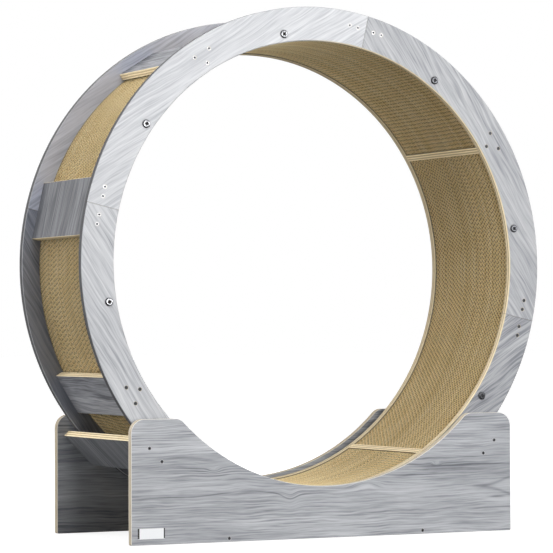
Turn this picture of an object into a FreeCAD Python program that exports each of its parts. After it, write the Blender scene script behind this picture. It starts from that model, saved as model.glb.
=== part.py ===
import FreeCAD, Part
import math
import os

import Sketcher
from FreeCAD import Placement, Rotation, Vector

# Cat exercise wheel, free standing. Millimetres, +Z up, origin on the floor at
# the centre of the footprint. The wheel turns about a horizontal line along Y,
# the front of the object looks along -Y.

doc = FreeCAD.newDocument("exercise_wheel")
sheet = doc.addObject("Spreadsheet::Sheet", "dims")

DIMENSIONS = [
    # the two rings
    ("ring_outer_radius", 550.0),
    ("ring_inner_radius", 477.0),
    ("ring_thick", 15.0),
    ("ring_mid", 163.5),            # y of a ring's middle plane
    ("ring_edge", 1.0),             # chamfer on the outer rim
    ("ring_inner_edge", 2.0),       # chamfer on the inner rim, which shows the plies
    ("segment_angle", 89.97),       # four segments, a hair's gap at each seam
    ("seam_angle", 77.05),           # first seam, from +X towards +Z
    ("axle_height", 582.0),
    # planks across the wheel, on the outside
    ("plank_thick", 15.0),
    ("plank_inner", 511.0),         # distance of their inner face from the axis
    ("seam_plank_width", 124.5),
    ("tee_plank_width", 96.0),
    ("wheel_inner_span", 312.0),    # between the rings' inner faces
    ("board_edge", 0.6),            # softened long edges
    # bars on edge, on the inside
    ("bar_inner", 478.0),
    ("bar_thick", 15.0),
    # scratch pads
    ("pad_inner", 480.0),
    ("pad_outer", 510.0),
    ("pad_width", 311.4),
    ("pad_angle", 88.06),
    # fasteners of the wheel
    ("screw_near", 19.5),           # along the plank, from its middle
    ("screw_far", 39.5),
    ("bar_screw", 494.5),
    ("bolt_circle", 495.0),
    ("bolt_angle", 22.5),
    ("bolt_clear", 3.3),            # radius of the hole in the ring
    ("bolt_shank", 3.0),
    ("bolt_head", 8.5),
    ("bolt_head_high", 3.4),
    ("bolt_reach", 31.0),
    ("bolt_round", 2.6),
    ("rod_radius", 6.0),
    ("rod_bore", 3.05),
    ("rod_bore_deep", 24.0),
    ("rod_clear", 6.2),
    # wood screws, countersunk
    ("screw_head", 4.0),
    ("screw_head_deep", 2.4),
    ("screw_shank", 1.75),
    ("screw_reach", 42.0),
    ("screw_clear", 2.0),
    ("sink_diameter", 8.8),
    ("pilot_radius", 1.9),
    ("pilot_deep", 29.0),
    # base
    ("panel_length", 909.0),
    ("panel_height", 258.4),
    ("panel_thick", 15.0),
    ("panel_mid", 198.5),           # y of a panel's middle plane
    ("panel_arc", 472.0),
    ("panel_shoulder", 29.0),
    ("panel_tip", 28.0),
    ("panel_foot", 3.0),
    ("base_inner_span", 382.0),
    ("cross_inner", 556.0),         # slanted planks, distance from the axis
    ("cross_width", 94.0),
    ("cross_rise", 1.5),            # up along its own slope
    ("cross_screw", 19.7),
    ("cross_angle", 45.0),
    ("floor_board_length", 540.0),
    ("floor_board_thick", 15.0),
    ("floor_board_screw", 232.0),
    # blank name plate
    ("plate_long", 61.0),
    ("plate_high", 23.0),
    ("plate_thick", 1.0),
    ("plate_x", -410.0),
    ("plate_z", 24.0),
    ("plate_recess", 0.7),
    ("plate_round", 1.5),
    # rollers
    ("roller_tread", 22.0),
    ("roller_flange", 27.0),
    ("roller_half", 12.0),
    ("roller_groove", 8.5),
    ("roller_bore", 11.0),
    ("roller_gap", 0.3),
    ("roller_x", 232.0),
    ("bearing_outer", 10.95),
    ("bearing_bore", 4.05),
    ("bearing_half", 12.6),
    ("axle_radius", 4.0),
    ("axle_clear", 4.1),
    ("axle_head", 7.0),
    ("axle_head_high", 2.8),
    ("axle_reach", 39.0),
    ("nut_across", 13.0),
    ("nut_high", 6.0),
    ("cheek_half", 13.0),           # inside of the bracket's cheeks
    ("cheek_thick", 2.0),
    ("bracket_long", 40.0),
    ("bracket_round", 14.0),
    ("bracket_rise", 12.5),         # above the axle
    ("bracket_screw", 12.0),
    ("small_head", 3.4),
    ("small_head_high", 1.9),
    ("small_shank", 1.5),
    ("small_reach", 9.0),
    ("small_pilot", 1.6),
    ("small_pilot_deep", 8.6),
]
for row, (alias, value) in enumerate(DIMENSIONS, start=1):
    sheet.set("A%d" % row, alias)
    sheet.set("B%d" % row, "%g" % value)
    sheet.setAlias("B%d" % row, alias)
doc.recompute()


class Size:
    """A size: its number now, and the sheet expression it is bound to."""

    def __init__(self, number, words):
        self.number = float(number)
        self.words = words

    @staticmethod
    def of(other):
        return other if isinstance(other, Size) else Size(other, "%g" % other)

    def __add__(self, other):
        other = Size.of(other)
        return Size(self.number + other.number, "(%s + %s)" % (self.words, other.words))

    def __sub__(self, other):
        other = Size.of(other)
        return Size(self.number - other.number, "(%s - %s)" % (self.words, other.words))

    def __mul__(self, other):
        other = Size.of(other)
        return Size(self.number * other.number, "(%s * %s)" % (self.words, other.words))

    def __truediv__(self, other):
        other = Size.of(other)
        return Size(self.number / other.number, "(%s / %s)" % (self.words, other.words))

    def __neg__(self):
        return Size(-self.number, "(0 - %s)" % self.words)


def size(alias):
    return Size(float(sheet.get(alias)), "dims.%s" % alias)


def cosine(angle):
    angle = Size.of(angle)
    return Size(math.cos(math.radians(angle.number)), "cos(%s)" % angle.words)


def sine(angle):
    angle = Size.of(angle)
    return Size(math.sin(math.radians(angle.number)), "sin(%s)" % angle.words)


def root(value):
    return Size(math.sqrt(value.number), "sqrt(%s)" % value.words)


ZERO = Size(0, "0")


def new_body(name):
    body = doc.addObject("PartDesign::Body", name)
    body.Label = name
    return body


def origin_item(body, role):
    return [item for item in body.Origin.OriginFeatures if item.Role == role][0]


def new_sketch(body, name, plane, lift=None):
    """A sketch on one of the body's own origin planes, lifted along its normal."""
    sketch = body.newObject("Sketcher::SketchObject", name)
    sketch.AttachmentSupport = (origin_item(body, plane), [""])
    sketch.MapMode = "FlatFace"
    if lift is not None:
        sketch.AttachmentOffset = Placement(Vector(0, 0, lift.number), Rotation())
        sketch.setExpression("AttachmentOffset.Base.z", lift.words)
    return sketch


def pin_point(sketch, geometry, point, x, y):
    """Fixes a point's two coordinates to sizes of the sheet."""
    for kind, axis, value in (("DistanceX", -2, x), ("DistanceY", -1, y)):
        if abs(value.number) < 1e-9:
            sketch.addConstraint(Sketcher.Constraint("PointOnObject", geometry, point, axis))
        elif value.number > 0:
            index = sketch.addConstraint(
                Sketcher.Constraint(kind, -1, 1, geometry, point, value.number))
            sketch.setExpression("Constraints[%d]" % index, value.words)
        else:
            index = sketch.addConstraint(
                Sketcher.Constraint(kind, geometry, point, -1, 1, -value.number))
            sketch.setExpression("Constraints[%d]" % index, (-value).words)


def polygon(sketch, corners):
    """A closed outline, each corner fixed to sizes of the sheet."""
    corners = [(Size.of(x), Size.of(y)) for x, y in corners]
    count = len(corners)
    lines = []
    for i in range(count):
        a, b = corners[i], corners[(i + 1) % count]
        lines.append(sketch.addGeometry(Part.LineSegment(
            Vector(a[0].number, a[1].number, 0), Vector(b[0].number, b[1].number, 0)), False))
    for i in range(count):
        sketch.addConstraint(Sketcher.Constraint(
            "Coincident", lines[i], 2, lines[(i + 1) % count], 1))
    for i in range(count):
        pin_point(sketch, lines[i], 1, corners[i][0], corners[i][1])


def circles(sketch, centres, radius):
    """Equal circles at centres given by sizes of the sheet."""
    for x, y in centres:
        x, y = Size.of(x), Size.of(y)
        circle = sketch.addGeometry(Part.Circle(
            Vector(x.number, y.number, 0), Vector(0, 0, 1), radius.number), False)
        index = sketch.addConstraint(Sketcher.Constraint("Radius", circle, radius.number))
        sketch.setExpression("Constraints[%d]" % index, radius.words)
        pin_point(sketch, circle, 3, x, y)


def bind(item, **sizes):
    for name, value in sizes.items():
        setattr(item, name, value.number)
        item.setExpression(name, value.words)


def pad(body, name, sketch, length, symmetric=True):
    feature = body.newObject("PartDesign::Pad", name)
    feature.Profile = sketch
    feature.SideType = "Symmetric" if symmetric else "One side"
    bind(feature, Length=length)
    return feature


def turn(body, name, sketch, angle=None):
    """Turns a sketch of the XY plane about its Y axis."""
    feature = body.newObject("PartDesign::Revolution", name)
    feature.Profile = sketch
    feature.ReferenceAxis = (sketch, ["V_Axis"])
    if angle is None:
        feature.Angle = 360
    else:
        feature.Midplane = True
        bind(feature, Angle=angle)
    return feature


def cut(body, name, sketch, length=None, through=False, reverse=False):
    """A pocket; the volume must fall, or the direction was wrong."""
    doc.recompute()
    before = body.Shape.Volume
    feature = body.newObject("PartDesign::Pocket", name)
    feature.Profile = sketch
    if through:
        feature.Type = "ThroughAll"
        feature.SideType = "Symmetric"
    else:
        bind(feature, Length=length)
        feature.Reversed = reverse
    doc.recompute()
    if not body.Shape.Volume < before - 0.5:
        raise ValueError("pocket %s removes nothing" % name)
    return feature


def sunk_holes(body, name, sketch, radius, sink_diameter):
    """Countersunk holes right through, from the side the sketch lies on."""
    doc.recompute()
    before = body.Shape.Volume
    feature = body.newObject("PartDesign::Hole", name)
    feature.Profile = sketch
    feature.ThreadType = "None"
    feature.DepthType = "ThroughAll"
    bind(feature, Diameter=radius * 2)
    feature.HoleCutType = "Countersink"
    feature.HoleCutCustomValues = True
    feature.HoleCutCountersinkAngle = 90
    bind(feature, HoleCutDiameter=sink_diameter)
    doc.recompute()
    if not body.Shape.Volume < before - 0.5:
        raise ValueError("hole %s removes nothing" % name)
    return feature


def edges_where(shape, test):
    found = []
    for number, edge in enumerate(shape.Edges, start=1):
        if test(edge):
            found.append("Edge%d" % number)
    return found


def along(edge, axis, x=None, y=None, z=None, near=0.2):
    """A straight edge along one axis, at the coordinates that are given."""
    if len(edge.Vertexes) != 2 or edge.Curve.TypeId != "Part::GeomLine":
        return False
    way = edge.Vertexes[1].Point - edge.Vertexes[0].Point
    way.normalize()
    if abs(abs(way.dot(axis)) - 1) > 1e-4:
        return False
    middle = edge.CenterOfMass
    for value, target in ((middle.x, x), (middle.y, y), (middle.z, z)):
        if target is not None and abs(value - target) > near:
            return False
    return True


def round_edges(body, name, test, radius):
    doc.recompute()
    base = body.Tip
    names = edges_where(base.Shape, test)
    if not names:
        raise ValueError("no edges for %s" % name)
    feature = body.newObject("PartDesign::Fillet", name)
    feature.Base = (base, names)
    bind(feature, Radius=radius)
    doc.recompute()
    return feature


AXIS_X, AXIS_Y, AXIS_Z = Vector(1, 0, 0), Vector(0, 1, 0), Vector(0, 0, 1)

parts = []          # (node name, object)


def keep(item):
    parts.append((item.Label, item))
    return item


def on_wheel(angle, y=0.0, flip=False):
    """Places what is modelled about the wheel's axis: turned by angle from +X
    towards +Z, moved along the axis, or flipped to the back ring."""
    spin = Rotation(AXIS_Y, -angle)
    if flip:
        spin = spin.multiply(Rotation(AXIS_X, 180))
    return Placement(Vector(0, y, size("axle_height").number), spin)


seam = size("seam_angle").number
ring_mid = size("ring_mid").number
plank_mid = size("plank_inner") + size("plank_thick") / 2

# ---------------------------------------------------------------- ring segments
# A quarter ring, its middle on +X, turned about Y. The screws sit on the middle
# plane of the planks they hold.


def ring_segment(name):
    body = new_body(name)
    outer, inner = size("ring_outer_radius"), size("ring_inner_radius")
    half, edge, soft = size("ring_thick") / 2, size("ring_edge"), size("ring_inner_edge")
    section = new_sketch(body, name + "_section", "XY_Plane")
    polygon(section, [
        (inner + soft, -half), (outer - edge, -half), (outer, edge - half),
        (outer, half - edge), (outer - edge, half), (inner + soft, half),
        (inner, half - soft), (inner, soft - half)])
    turn(body, name + "_sweep", section, size("segment_angle"))
    near, far = size("screw_near"), size("screw_far")
    slant = cosine(45)
    spots = []
    for way in (near, far):
        x = (plank_mid + way) * slant
        z = (plank_mid - way) * slant
        spots += [(x, z), (x, -z)]
    spots += [(plank_mid, near), (plank_mid, -near), (size("bar_screw"), ZERO)]
    screws = new_sketch(body, name + "_screw_spots", "XZ_Plane", half)
    circles(screws, spots, size("screw_clear"))
    sunk_holes(body, name + "_screw_holes", screws, size("screw_clear"), size("sink_diameter"))
    bolts = new_sketch(body, name + "_bolt_spots", "XZ_Plane")
    x = size("bolt_circle") * cosine(size("bolt_angle"))
    z = size("bolt_circle") * sine(size("bolt_angle"))
    circles(bolts, [(x, z), (x, -z)], size("bolt_clear"))
    cut(body, name + "_bolt_holes", bolts, through=True)
    return body


for number in range(4):
    middle = seam + 45 + 90 * number
    front = ring_segment("ring_front_segment_%d" % (number + 1))
    front.Placement = on_wheel(middle, -ring_mid)
    keep(front)
    back = ring_segment("ring_back_segment_%d" % (number + 1))
    back.Placement = on_wheel(middle, ring_mid, flip=True)
    keep(back)

# ------------------------------------------------------- planks across the wheel
# Flat boards, normal to +X, with pilot holes for the screws in their ends.


def board(name, inner, thick, width, length, spots, pilot_radius, pilot_deep):
    body = new_body(name)
    edge = size("board_edge")
    near, far, half = inner, inner + thick, width / 2
    section = new_sketch(body, name + "_section", "XZ_Plane")
    polygon(section, [
        (near + edge, -half), (far - edge, -half), (far, edge - half), (far, half - edge),
        (far - edge, half), (near + edge, half), (near, half - edge), (near, edge - half)])
    pad(body, name + "_length", section, length)
    for side, sign in (("front", 1), ("back", -1)):
        ends = new_sketch(body, "%s_%s_spots" % (name, side), "XZ_Plane", length / 2 * sign)
        circles(ends, spots, pilot_radius)
        cut(body, "%s_%s_pilots" % (name, side), ends, pilot_deep, reverse=(sign < 0))
    return body


span = size("wheel_inner_span")
for number in range(4):
    plank = board(
        "seam_plank_%d" % (number + 1), size("plank_inner"), size("plank_thick"),
        size("seam_plank_width"), span,
        [(plank_mid, way * sign) for way in (size("screw_near"), size("screw_far"))
         for sign in (1, -1)],
        size("pilot_radius"), size("pilot_deep"))
    plank.Placement = on_wheel(seam + 90 * number)
    keep(plank)
    plank = board(
        "tee_plank_%d" % (number + 1), size("plank_inner"), size("plank_thick"),
        size("tee_plank_width"), span,
        [(plank_mid, size("screw_near") * sign) for sign in (1, -1)],
        size("pilot_radius"), size("pilot_deep"))
    plank.Placement = on_wheel(seam + 45 + 90 * number)
    keep(plank)
    bar = board(
        "inner_bar_%d" % (number + 1), size("bar_inner"),
        size("plank_inner") - size("bar_inner"), size("bar_thick"), span,
        [(size("bar_screw"), ZERO)], size("pilot_radius"), size("pilot_deep"))
    bar.Placement = on_wheel(seam + 45 + 90 * number)
    keep(bar)

# ------------------------------------------------------------------ scratch pads
# Thick arcs between the bars, bored along the axis for two tie rods each.


def scratch_pad(name):
    body = new_body(name)
    half = size("pad_width") / 2
    section = new_sketch(body, name + "_section", "XY_Plane")
    polygon(section, [
        (size("pad_inner"), -half), (size("pad_outer"), -half),
        (size("pad_outer"), half), (size("pad_inner"), half)])
    turn(body, name + "_sweep", section, size("pad_angle"))
    bores = new_sketch(body, name + "_bore_spots", "XZ_Plane")
    x = size("bolt_circle") * cosine(size("bolt_angle"))
    z = size("bolt_circle") * sine(size("bolt_angle"))
    circles(bores, [(x, z), (x, -z)], size("rod_clear"))
    cut(body, name + "_bores", bores, through=True)
    return body


for number in range(4):
    body = scratch_pad("scratch_pad_%d" % (number + 1))
    body.Placement = on_wheel(seam + 90 * number)
    keep(body)

# --------------------------------------------------------------------- fasteners
# One of each kind is modelled along -Y, head to the front with the underside or
# the sunk face at y = 0, and shown in its places by links.


def cross(sketch, arm, half):
    polygon(sketch, [
        (half, half), (arm, half), (arm, -half), (half, -half), (half, -arm), (-half, -arm),
        (-half, -half), (-arm, -half), (-arm, half), (-half, half), (-half, arm), (half, arm)])


def flush_screw(name):
    """Countersunk screw, the head's flat face at y = 0, the shank towards +Y."""
    body = new_body(name)
    head, shank = size("screw_head"), size("screw_shank")
    section = new_sketch(body, name + "_section", "XY_Plane")
    polygon(section, [
        (ZERO, Size.of(0.15)), (head, Size.of(0.15)), (head, Size.of(0.3)),
        (shank, size("screw_head_deep")), (shank, size("screw_reach") - 4),
        (ZERO, size("screw_reach"))])
    turn(body, name + "_turned", section)
    recess = new_sketch(body, name + "_recess", "XZ_Plane")
    cross(recess, Size.of(2.4), Size.of(0.6))
    cut(body, name + "_recess_cut", recess, Size.of(1.4))
    return body


def raised_fastener(name, head, high, soft, shank, reach, arm, half, deep):
    """Rounded head standing off y = 0 towards -Y, the shank towards +Y."""
    body = new_body(name)
    section = new_sketch(body, name + "_section", "XY_Plane")
    polygon(section, [(ZERO, -high), (head, -high), (head, ZERO), (shank, ZERO),
                      (shank, reach), (ZERO, reach)])
    turn(body, name + "_turned", section)
    round_edges(
        body, name + "_crown",
        lambda edge: edge.Curve.TypeId == "Part::GeomCircle"
        and abs(edge.Curve.Radius - head.number) < 0.01
        and abs(edge.Curve.Center.y + high.number) < 0.01, soft)
    recess = new_sketch(body, name + "_recess", "XZ_Plane", high)
    cross(recess, arm, half)
    cut(body, name + "_recess_cut", recess, deep)
    return body


wood_screw = flush_screw("wood_screw")
pad_bolt = raised_fastener(
    "pad_bolt", size("bolt_head"), size("bolt_head_high"), size("bolt_round"),
    size("bolt_shank"), size("bolt_reach"), Size.of(4.4), Size.of(1.2), Size.of(2.3))
small_screw = raised_fastener(
    "small_screw", size("small_head"), size("small_head_high"), Size.of(1.2),
    size("small_shank"), size("small_reach"), Size.of(2.1), Size.of(0.55), Size.of(1.1))


def group(name, source, places):
    """Several equal pieces in one node."""
    links = []
    for number, place in enumerate(places, start=1):
        link = doc.addObject("App::Link", "%s_%d" % (name, number))
        link.LinkedObject = source
        link.Placement = place
        links.append(link)
    item = doc.addObject("Part::Compound", name)
    item.Label = name
    item.Links = links
    return keep(item)


half_ring = size("ring_thick").number / 2
mid = plank_mid.number
near, far = size("screw_near").number, size("screw_far").number
height = size("axle_height").number


def wheel_spot(angle, distance, sideways, back):
    """A fastener in the ring's outer face, in a board's own directions: its
    distance from the axis and how far sideways along the board."""
    rad = math.radians(angle)
    x = distance * math.cos(rad) - sideways * math.sin(rad)
    z = distance * math.sin(rad) + sideways * math.cos(rad)
    y = ring_mid + half_ring
    spin = Rotation(AXIS_Z, 180) if back else Rotation()
    # each cross recess is left at its own angle, as screws are
    twist = Rotation(AXIS_Y, (angle * 7.3 + sideways * 2.1 + distance) % 90)
    return Placement(Vector(x, y if back else -y, height + z), spin.multiply(twist))


for side, back in (("front", False), ("back", True)):
    places = []
    for number in range(4):
        at_seam = seam + 90 * number
        for sideways in (-far, -near, near, far):
            places.append(wheel_spot(at_seam, mid, sideways, back))
        at_tee = at_seam + 45
        for sideways in (-near, near):
            places.append(wheel_spot(at_tee, mid, sideways, back))
        places.append(wheel_spot(at_tee, size("bar_screw").number, 0, back))
    group("ring_screws_%s" % side, wood_screw, places)
    group("pad_bolts_%s" % side, pad_bolt, [
        wheel_spot(seam + 22.5 + 45 * number, size("bolt_circle").number, 0, back)
        for number in range(8)])

# Tie rods through the pads, tapped at both ends for the bolts.
tie_rod = new_body("tie_rod")
section = new_sketch(tie_rod, "tie_rod_section", "XY_Plane")
rod, bore, half_span = size("rod_radius"), size("rod_bore"), span / 2
polygon(section, [
    (ZERO, size("rod_bore_deep") - half_span), (bore, size("rod_bore_deep") - half_span),
    (bore, -half_span), (rod, -half_span), (rod, half_span), (bore, half_span),
    (bore, half_span - size("rod_bore_deep")), (ZERO, half_span - size("rod_bore_deep"))])
turn(tie_rod, "tie_rod_turned", section)
places = []
for number in range(8):
    rad = math.radians(seam + 22.5 + 45 * number)
    radius = size("bolt_circle").number
    places.append(Placement(
        Vector(radius * math.cos(rad), 0, height + radius * math.sin(rad)), Rotation()))
group("tie_rods", tie_rod, places)

# ------------------------------------------------------------------- base panels
# A board with a concave arc about the wheel's axis; screws from the outer face.

panel_half = size("panel_thick") / 2
cross_mid = size("cross_inner") + size("panel_thick") / 2


def base_panel(name, with_plate):
    body = new_body(name)
    half_long, tall = size("panel_length") / 2, size("panel_height")
    outline = new_sketch(body, name + "_outline", "XZ_Plane")
    polygon(outline, [(-half_long, ZERO), (half_long, ZERO), (half_long, tall), (-half_long, tall)])
    pad(body, name + "_board", outline, size("panel_thick"))
    arc = new_sketch(body, name + "_arc", "XZ_Plane")
    circles(arc, [(ZERO, size("axle_height"))], size("panel_arc"))
    cut(body, name + "_arc_cut", arc, through=True)
    drop = height - tall.number
    tip = math.sqrt(size("panel_arc").number ** 2 - drop ** 2)
    for what, x, z, radius in (
            ("shoulders", half_long.number, tall.number, size("panel_shoulder")),
            ("tips", tip, tall.number, size("panel_tip")),
            ("feet", half_long.number, 0.0, size("panel_foot"))):
        round_edges(
            body, "%s_%s" % (name, what),
            lambda edge: along(edge, AXIS_Y, x=x, z=z) or along(edge, AXIS_Y, x=-x, z=z), radius)
    # long edges of both faces, softened
    doc.recompute()
    base = body.Tip
    face = size("panel_thick").number / 2
    names = edges_where(base.Shape, lambda edge: max(
        abs(abs(v.Point.y) - face) for v in edge.Vertexes) < 1e-3 and abs(
        abs(edge.CenterOfMass.y) - face) < 1e-3)
    soft = body.newObject("PartDesign::Chamfer", name + "_edges")
    soft.Base = (base, names)
    bind(soft, Size=size("board_edge"))
    doc.recompute()
    slant = sine(size("cross_angle"))
    spots = []
    for way in (size("cross_screw"), -size("cross_screw")):
        x = (cross_mid + size("cross_rise") - way) * slant
        z = size("axle_height") - (cross_mid - size("cross_rise") + way) * slant
        spots += [(x, z), (-x, z)]
    low = size("floor_board_thick") / 2
    spots += [(size("floor_board_screw"), low), (-size("floor_board_screw"), low)]
    screws = new_sketch(body, name + "_screw_spots", "XZ_Plane", panel_half)
    circles(screws, spots, size("screw_clear"))
    sunk_holes(body, name + "_screw_holes", screws, size("screw_clear"), size("sink_diameter"))
    if with_plate:
        recess = new_sketch(body, name + "_plate_outline", "XZ_Plane", panel_half)
        x, z = size("plate_x"), size("plate_z")
        wide, high = size("plate_long") / 2 + 0.1, size("plate_high") / 2 + 0.1
        polygon(recess, [(x - wide, z - high), (x + wide, z - high),
                         (x + wide, z + high), (x - wide, z + high)])
        cut(body, name + "_plate_recess", recess, size("plate_recess"))
    return body


panel_mid = size("panel_mid").number
front_panel = base_panel("base_panel_front", True)
front_panel.Placement = Placement(Vector(0, -panel_mid, 0), Rotation())
keep(front_panel)
back_panel = base_panel("base_panel_back", False)
back_panel.Placement = Placement(Vector(0, panel_mid, 0), Rotation(AXIS_Z, 180))
keep(back_panel)

# ------------------------------------------------- slanted planks, board, plate
for name, angle in (("cross_plank_left", 225.0), ("cross_plank_right", 315.0)):
    plank = board(
        name, size("cross_inner"), size("panel_thick"), size("cross_width"),
        size("base_inner_span"),
        [(cross_mid, size("cross_screw") * sign) for sign in (1, -1)],
        size("pilot_radius"), size("pilot_deep"))
    plank.Placement = on_wheel(angle)
    rise = size("cross_rise").number * math.sin(math.radians(size("cross_angle").number))
    plank.Placement.Base += Vector(-rise if angle < 270 else rise, 0, rise)
    keep(plank)

bottom = new_body("bottom_board")
outline = new_sketch(bottom, "bottom_board_outline", "XY_Plane")
half_long, half_wide = size("floor_board_length") / 2, size("base_inner_span") / 2
polygon(outline, [(-half_long, -half_wide), (half_long, -half_wide),
                  (half_long, half_wide), (-half_long, half_wide)])
pad(bottom, "bottom_board_thickness", outline, size("floor_board_thick"), symmetric=False)
for side, sign in (("front", 1), ("back", -1)):
    ends = new_sketch(bottom, "bottom_board_%s_spots" % side, "XZ_Plane", half_wide * sign)
    low = size("floor_board_thick") / 2
    circles(ends, [(size("floor_board_screw"), low), (-size("floor_board_screw"), low)],
            size("pilot_radius"))
    cut(bottom, "bottom_board_%s_pilots" % side, ends, size("pilot_deep"), reverse=(sign < 0))
spots = []
for sx in (1, -1):
    for sy in (1, -1):
        for shift in (size("bracket_screw"), -size("bracket_screw")):
            spots.append((size("roller_x") * sx + shift, size("ring_mid") * sy))
under = new_sketch(bottom, "bottom_board_bracket_spots", "XY_Plane", size("floor_board_thick"))
circles(under, spots, size("small_pilot"))
cut(bottom, "bottom_board_bracket_pilots", under, size("small_pilot_deep"))
keep(bottom)

plate = new_body("name_plate")
outline = new_sketch(plate, "name_plate_outline", "XZ_Plane")
wide, high = size("plate_long") / 2, size("plate_high") / 2
polygon(outline, [(-wide, -high), (wide, -high), (wide, high), (-wide, high)])
pad(plate, "name_plate_sheet", outline, size("plate_thick"))
round_edges(
    plate, "name_plate_corners", lambda edge: along(edge, AXIS_Y), size("plate_round"))
plate_y = -(panel_mid + panel_half.number) + size("plate_recess").number \
    - size("plate_thick").number / 2
plate.Placement = Placement(
    Vector(size("plate_x").number, plate_y, size("plate_z").number), Rotation())
keep(plate)

panel_face = panel_mid + panel_half.number
slant = math.sin(math.radians(size("cross_angle").number))
for side, back in (("front", False), ("back", True)):
    places = []
    for way in (size("cross_screw").number, -size("cross_screw").number):
        for sx in (1, -1):
            rise = size("cross_rise").number
            places.append((sx * (cross_mid.number + rise - way) * slant,
                           height - (cross_mid.number - rise + way) * slant))
    for sx in (1, -1):
        places.append((sx * size("floor_board_screw").number,
                       size("floor_board_thick").number / 2))
    group("panel_screws_%s" % side, wood_screw, [
        Placement(
            Vector(x, panel_face if back else -panel_face, z),
            (Rotation(AXIS_Z, 180) if back else Rotation()).multiply(
                Rotation(AXIS_Y, (x * 3.7 + z) % 90)))
        for x, z in places])

# ----------------------------------------------------------------------- rollers
# A grooved roller under each ring, left and right of the middle, on a bearing, an
# axle and a bracket that stands on the bottom board.

reach = size("ring_outer_radius") + size("roller_tread") + size("roller_gap")
roller_drop = root(reach * reach - size("roller_x") * size("roller_x"))
roller_z = size("axle_height") - roller_drop
axle_rise = roller_z - size("floor_board_thick")


def roller(name):
    body = new_body(name)
    bore, tread, flange = size("roller_bore"), size("roller_tread"), size("roller_flange")
    half, groove = size("roller_half"), size("roller_groove")
    section = new_sketch(body, name + "_section", "XY_Plane")
    polygon(section, [
        (bore, -half), (flange - 1, -half), (flange, -half + 1), (flange, -groove - 1.5),
        (tread, -groove), (tread, groove), (flange, groove + 1.5), (flange, half - 1),
        (flange - 1, half), (bore, half)])
    turn(body, name + "_turned", section)
    return body


def bearing(name):
    body = new_body(name)
    bore, outer, half = size("bearing_bore"), size("bearing_outer"), size("bearing_half")
    section = new_sketch(body, name + "_section", "XY_Plane")
    polygon(section, [
        (bore, -half), (bore + 2.4, -half), (bore + 2.4, -half + 1), (outer - 1.4, -half + 1),
        (outer - 1.4, -half + 0.5), (outer, -half + 0.5),
        (outer, half - 0.5), (outer - 1.4, half - 0.5), (outer - 1.4, half - 1),
        (bore + 2.4, half - 1), (bore + 2.4, half), (bore, half)])
    turn(body, name + "_turned", section)
    return body


def bracket(name):
    body = new_body(name)
    inside, thick = size("cheek_half"), size("cheek_thick")
    top = axle_rise + size("bracket_rise")
    outside = inside + thick
    section = new_sketch(body, name + "_section", "YZ_Plane")
    polygon(section, [
        (-outside, ZERO), (outside, ZERO), (outside, top), (inside, top),
        (inside, thick), (-inside, thick), (-inside, top), (-outside, top)])
    pad(body, name + "_channel", section, size("bracket_long"))
    end = size("bracket_long").number / 2
    round_edges(
        body, name + "_crowns",
        lambda edge: along(edge, AXIS_Y, x=end, z=top.number)
        or along(edge, AXIS_Y, x=-end, z=top.number), size("bracket_round"))
    round_edges(
        body, name + "_bends",
        lambda edge: along(edge, AXIS_X, y=outside.number, z=0)
        or along(edge, AXIS_X, y=-outside.number, z=0), size("cheek_thick") * 0.9)
    axle = new_sketch(body, name + "_axle_spot", "XZ_Plane")
    circles(axle, [(ZERO, axle_rise)], size("axle_clear"))
    cut(body, name + "_axle_holes", axle, through=True)
    feet = new_sketch(body, name + "_screw_spots", "XY_Plane", thick)
    circles(feet, [(size("bracket_screw"), ZERO), (-size("bracket_screw"), ZERO)],
            size("small_pilot") + 0.2)
    cut(body, name + "_screw_holes", feet, thick * 1.5)
    return body


def axle_bolt(name):
    """Low round head with a hex socket outside the outer cheek, along +Y."""
    body = new_body(name)
    radius, head, high = size("axle_radius"), size("axle_head"), size("axle_head_high")
    section = new_sketch(body, name + "_section", "XY_Plane")
    polygon(section, [
        (ZERO, -high), (head - 0.8, -high), (head, -high + 0.8), (head, ZERO), (radius, ZERO),
        (radius, size("axle_reach") - 1), (radius - 1, size("axle_reach")),
        (ZERO, size("axle_reach"))])
    turn(body, name + "_turned", section)
    socket = new_sketch(body, name + "_socket", "XZ_Plane", high)
    across = Size.of(2.9)
    polygon(socket, [(across * cosine(60 * i), across * sine(60 * i)) for i in range(6)])
    cut(body, name + "_socket_cut", socket, Size.of(1.6))
    return body


def hex_nut(name):
    body = new_body(name)
    outline = new_sketch(body, name + "_outline", "XZ_Plane")
    across = size("nut_across") / 2 / cosine(30)
    polygon(outline, [(across * cosine(60 * i), across * sine(60 * i)) for i in range(6)])
    pad(body, name + "_block", outline, size("nut_high"))
    hole = new_sketch(body, name + "_hole", "XZ_Plane")
    circles(hole, [(ZERO, ZERO)], size("axle_radius") + 0.05)
    cut(body, name + "_hole_cut", hole, through=True)
    return body


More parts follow.
